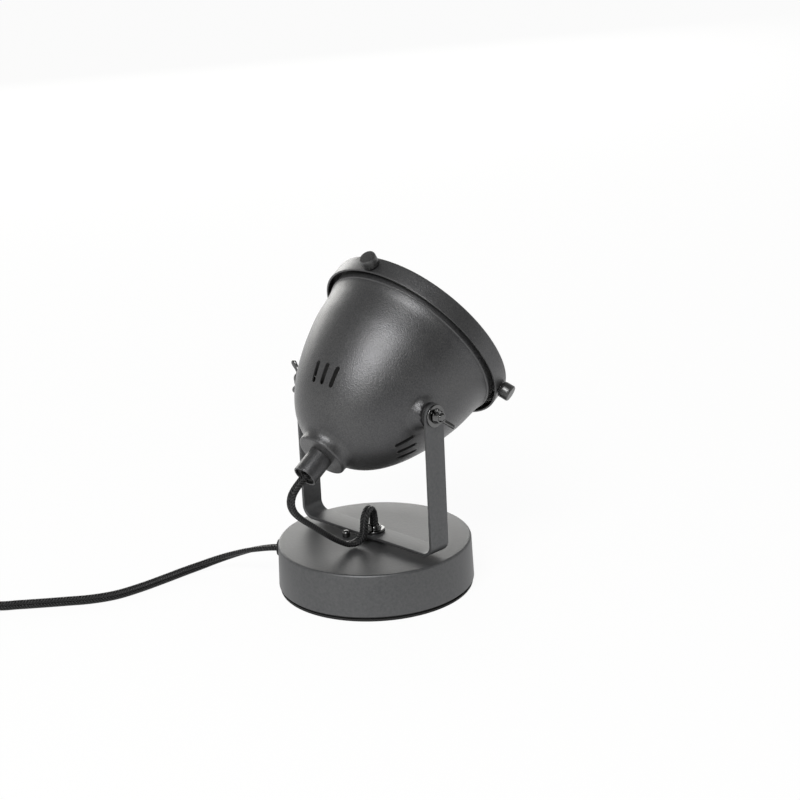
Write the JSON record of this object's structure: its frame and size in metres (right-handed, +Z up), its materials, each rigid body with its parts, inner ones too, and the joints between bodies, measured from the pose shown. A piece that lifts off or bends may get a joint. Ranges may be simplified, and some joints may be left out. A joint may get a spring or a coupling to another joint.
{
  "type": "table spot lamp",
  "caption": "Table spot lamp with a bowl shade and stand-off front ring that tilts in a swivelling strip yoke on a round weighted base, with a fabric covered lead.",
  "frame": {"origin": "middle of the underside of the base's foot pad", "axes": "+Z up, the yoke's pivots along X, the shade's mouth towards -Y and up at rest"},
  "size_m": [0.237, 0.4377, 0.2119],
  "materials": {
    "sanded_coat": "fine sandy dark grey powder coat",
    "satin_coat": "smooth satin dark grey powder coat",
    "black_gloss": "glossy black",
    "black_rubber": "matt black",
    "zinc_plate": "zinc plated steel",
    "cast_iron": "raw casting",
    "grey_knurl": "knurled dark grey",
    "nylon": "natural nylon",
    "brass": "bare brass",
    "nickel": "nickel plate",
    "opal_glass": "opal white glass",
    "fabric": "black textile braid",
    "black_plastic": "black plastic"
  },
  "bodies": {
    "base": {"foot_pad": "black_rubber", "bottom_plate": "black_plastic", "plate_screw_1": "zinc_plate", "plate_screw_2": "zinc_plate", "plate_screw_3": "zinc_plate", "base_weight": "cast_iron", "base_cover": "satin_coat", "stem": "black_gloss", "stem_washer": "zinc_plate", "stem_nut": "zinc_plate", "stem_spacer": "black_plastic", "flange_nut": "black_gloss", "stop_screw": "black_gloss", "exit_grommet": "black_rubber", "base_lead": "fabric", "mains_lead": "fabric", "switch_base": "black_plastic", "switch_cover": "black_plastic", "link_lead": "fabric", "lead_coil": "fabric", "coil_tie": "black_plastic", "tail_lead": "fabric", "plug_body": "black_plastic", "plug_pin_1": "nickel", "plug_pin_2": "nickel"},
    "yoke": {"yoke": "satin_coat", "nut_washer_near": "black_gloss", "nut_washer_far": "black_gloss", "head_lead": "fabric"},
    "head": {"shade": "sanded_coat", "neck_sleeve": "sanded_coat", "neck_nipple": "zinc_plate", "neck_nut": "zinc_plate", "entry_bushing": "black_rubber", "front_ring": "sanded_coat", "ring_bush_1": "zinc_plate", "ring_bush_2": "zinc_plate", "ring_bush_3": "zinc_plate", "pivot_bolt_near": "black_gloss", "pivot_bolt_far": "black_gloss", "pivot_washer_near": "nylon", "pivot_washer_far": "nylon", "holder_cap": "black_plastic", "holder_body": "black_plastic", "holder_shell": "brass", "holder_contact": "brass", "holder_lead": "fabric"},
    "wing_nut_near": {"wing_nut_near": "black_gloss"},
    "wing_nut_far": {"wing_nut_far": "black_gloss"},
    "ring_screw_1": {"ring_screw_1": "grey_knurl"},
    "ring_screw_2": {"ring_screw_2": "grey_knurl"},
    "ring_screw_3": {"ring_screw_3": "grey_knurl"},
    "bulb": {"bulb_cap": "nickel", "bulb_glass": "opal_glass"},
    "rocker": {"switch_rocker": "black_plastic"}
  },
  "joints": [
    {"name": "yoke_swivel", "type": "hinge", "parent": "base", "child": "yoke", "pos_m": [0, 0, 0.033], "axis": [0, 0, 1], "range_deg": [-110, 0], "deforming": ["head_lead"]},
    {"name": "head_tilt", "type": "hinge", "parent": "yoke", "child": "head", "pos_m": [0, 0, 0.1223], "axis": [1, 0, 0], "range_deg": [-40, 65], "deforming": ["head_lead"]},
    {"name": "near_nut_turn", "type": "hinge", "parent": "head", "child": "wing_nut_near", "pos_m": [-0.06, 0, 0.1223], "axis": [-1, 0, 0], "continuous": true},
    {"name": "far_nut_turn", "type": "hinge", "parent": "head", "child": "wing_nut_far", "pos_m": [0.06, 0, 0.1223], "axis": [1, 0, 0], "continuous": true},
    {"name": "ring_screw_1_turn", "type": "hinge", "parent": "head", "child": "ring_screw_1", "pos_m": [0, -0.00938, 0.20349], "axis": [0, 0.5329, 0.8462], "continuous": true},
    {"name": "ring_screw_2_turn", "type": "hinge", "parent": "head", "child": "ring_screw_2", "pos_m": [-0.05517, -0.0603, 0.12263], "axis": [-0.866, -0.2664, -0.4231], "continuous": true},
    {"name": "ring_screw_3_turn", "type": "hinge", "parent": "head", "child": "ring_screw_3", "pos_m": [0.05517, -0.0603, 0.12263], "axis": [0.866, -0.2664, -0.4231], "continuous": true},
    {"name": "bulb_turn", "type": "hinge", "parent": "head", "child": "bulb", "pos_m": [0, 0, 0.1223], "axis": [0, -0.8462, 0.5329], "continuous": true},
    {"name": "rocker_tip", "type": "hinge", "parent": "base", "child": "rocker", "pos_m": [0.15697, 0.233, 0.0159], "axis": [-0.9994, -0.0349, 0], "range_deg": [-14, 0]}
  ]
}
